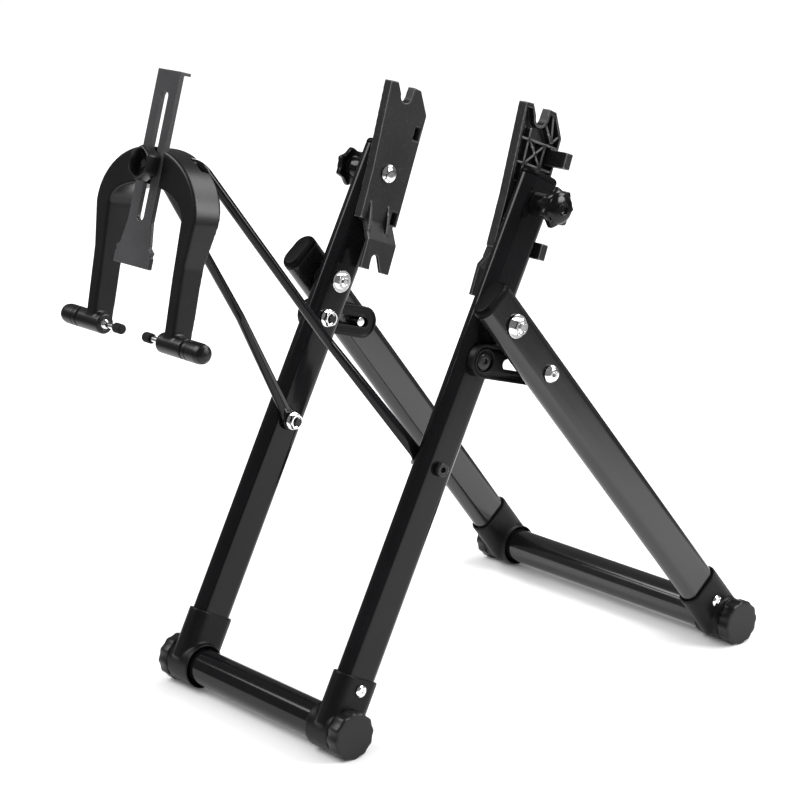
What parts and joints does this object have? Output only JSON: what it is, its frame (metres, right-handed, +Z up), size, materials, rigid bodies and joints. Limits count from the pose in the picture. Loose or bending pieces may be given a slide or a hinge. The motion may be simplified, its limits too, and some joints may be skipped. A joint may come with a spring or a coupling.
{
  "type": "wheel truing stand",
  "caption": "Folding bench stand for truing spoked wheels, with slotted hub plates and a rim gauge on a swinging bail.",
  "frame": {"origin": "on the ground, at the middle of the box that holds the stand at rest", "axes": "+X from the stand's left to its right along the cross bars and the wheel's axle, +Y towards the rear legs, +Z up"},
  "size_m": [0.2686, 0.4452, 0.4462],
  "materials": {
    "paint": "gloss black powder coat on steel tube, bar and rod",
    "moulding": "satin black moulded nylon",
    "gauge_coat": "dark grey satin coat on sheet steel",
    "zinc": "bright zinc plated steel",
    "black_oxide": "black oxide on steel",
    "rubber": "matt black"
  },
  "bodies": {
    "frame": {"front_bar": "paint", "upright_right": "paint", "upright_left": "paint", "upright_plug_right": "moulding", "upright_plug_left": "moulding", "front_connector_right": "moulding", "front_connector_left": "moulding", "front_rivet_right": "zinc", "front_rivet_left": "zinc", "front_cap_right": "moulding", "front_cap_left": "moulding", "pivot_spacer_right": "moulding", "pivot_spacer_left": "moulding", "pivot_nut_right": "zinc", "pivot_nut_left": "zinc", "pivot_bolt_right": "zinc", "pivot_bolt_left": "zinc", "link_bolt_right": "zinc", "link_bolt_left": "zinc", "link_nut_right": "zinc", "link_nut_left": "zinc", "plate_bolt_right": "zinc", "plate_bolt_left": "zinc", "bail_bolt_right": "black_oxide", "bail_bolt_left": "black_oxide", "bail_nut_right": "zinc", "bail_nut_left": "zinc"},
    "rear_legs": {"rear_bar": "paint", "rear_leg_right": "paint", "rear_leg_left": "paint", "leg_plug_right": "moulding", "leg_plug_left": "moulding", "rear_connector_right": "moulding", "rear_connector_left": "moulding", "rear_rivet_right": "zinc", "rear_rivet_left": "zinc", "rear_cap_right": "moulding", "rear_cap_left": "moulding", "slot_bolt_right": "zinc", "slot_bolt_left": "zinc"},
    "bail": {"bail": "paint"},
    "yoke": {"yoke": "moulding", "gauge_stud": "zinc"},
    "gauge_plate": {"gauge_plate": "gauge_coat"},
    "gauge_knob": {"gauge_knob": "moulding"},
    "link_right": {"link_right": "moulding"},
    "slot_pin_right": {"slot_pin_right": "zinc"},
    "plate_right": {"dropout_plate_right": "moulding"},
    "star_knob_right": {"star_knob_right": "moulding"},
    "thumb_screw_right": {"thumb_screw_right": "zinc", "thumb_knob_right": "moulding", "thumb_tip_right": "rubber"},
    "link_left": {"link_left": "moulding"},
    "slot_pin_left": {"slot_pin_left": "zinc"},
    "plate_left": {"dropout_plate_left": "moulding"},
    "star_knob_left": {"star_knob_left": "moulding"},
    "thumb_screw_left": {"thumb_screw_left": "zinc", "thumb_knob_left": "moulding", "thumb_tip_left": "rubber"}
  },
  "joints": [
    {"name": "leg_fold", "type": "hinge", "parent": "frame", "child": "rear_legs", "pos_m": [0, 0.0099, 0.26812], "axis": [-1, 0, 0], "range_deg": [0, 66.38]},
    {"name": "bail_swing", "type": "hinge", "parent": "frame", "child": "bail", "pos_m": [0, -0.03987, 0.17646], "axis": [1, 0, 0], "range_deg": [-45, 12]},
    {"name": "yoke_tilt", "type": "hinge", "parent": "bail", "child": "yoke", "pos_m": [0, -0.17874, 0.38949], "axis": [1, 0, 0], "range_deg": [-35, 13]},
    {"name": "gauge_height", "type": "slide", "parent": "yoke", "child": "gauge_plate", "axis": [0, 0.2982, 0.9545], "range_m": [-0.042, 0.02]},
    {"name": "gauge_knob_spin", "type": "hinge", "parent": "yoke", "child": "gauge_knob", "pos_m": [0, -0.19725, 0.38929], "axis": [0, -0.9545, 0.2982], "continuous": true},
    {"name": "link_turn_right", "type": "hinge", "parent": "frame", "child": "link_right", "pos_m": [0, -0.00331, 0.24378], "axis": [-1, 0, 0], "range_deg": [0, 101.2]},
    {"name": "slot_slide_right", "type": "slide", "parent": "link_right", "child": "slot_pin_right", "axis": [0, -0.9548, 0.2971], "range_m": [0, 0.0246]},
    {"name": "plate_flip_right", "type": "hinge", "parent": "frame", "child": "plate_right", "pos_m": [0, 0.04927, 0.34062], "axis": [1, 0, 0], "range_deg": [0, 160]},
    {"name": "star_knob_spin_right", "type": "hinge", "parent": "frame", "child": "star_knob_right", "pos_m": [0, 0.04927, 0.34062], "axis": [1, 0, 0], "continuous": true},
    {"name": "rim_screw_right", "type": "slide", "parent": "yoke", "child": "thumb_screw_right", "axis": [1, 0, 0], "range_m": [0, 0.0115]},
    {"name": "link_turn_left", "type": "hinge", "parent": "frame", "child": "link_left", "pos_m": [0, -0.00331, 0.24378], "axis": [-1, 0, 0], "range_deg": [0, 101.2]},
    {"name": "slot_slide_left", "type": "slide", "parent": "link_left", "child": "slot_pin_left", "axis": [0, -0.9548, 0.2971], "range_m": [0, 0.0246]},
    {"name": "plate_flip_left", "type": "hinge", "parent": "frame", "child": "plate_left", "pos_m": [0, 0.04927, 0.34062], "axis": [1, 0, 0], "range_deg": [0, 160]},
    {"name": "star_knob_spin_left", "type": "hinge", "parent": "frame", "child": "star_knob_left", "pos_m": [0, 0.04927, 0.34062], "axis": [-1, 0, 0], "continuous": true},
    {"name": "rim_screw_left", "type": "slide", "parent": "yoke", "child": "thumb_screw_left", "axis": [-1, 0, 0], "range_m": [0, 0.0115]}
  ],
  "couplings": [
    {"joint": "link_turn_right", "follows": "leg_fold", "ratio": 1.5245},
    {"joint": "slot_slide_right", "follows": "leg_fold", "m_per_rad": 0.02122},
    {"joint": "link_turn_left", "follows": "leg_fold", "ratio": 1.5245},
    {"joint": "slot_slide_left", "follows": "leg_fold", "m_per_rad": 0.02122}
  ]
}
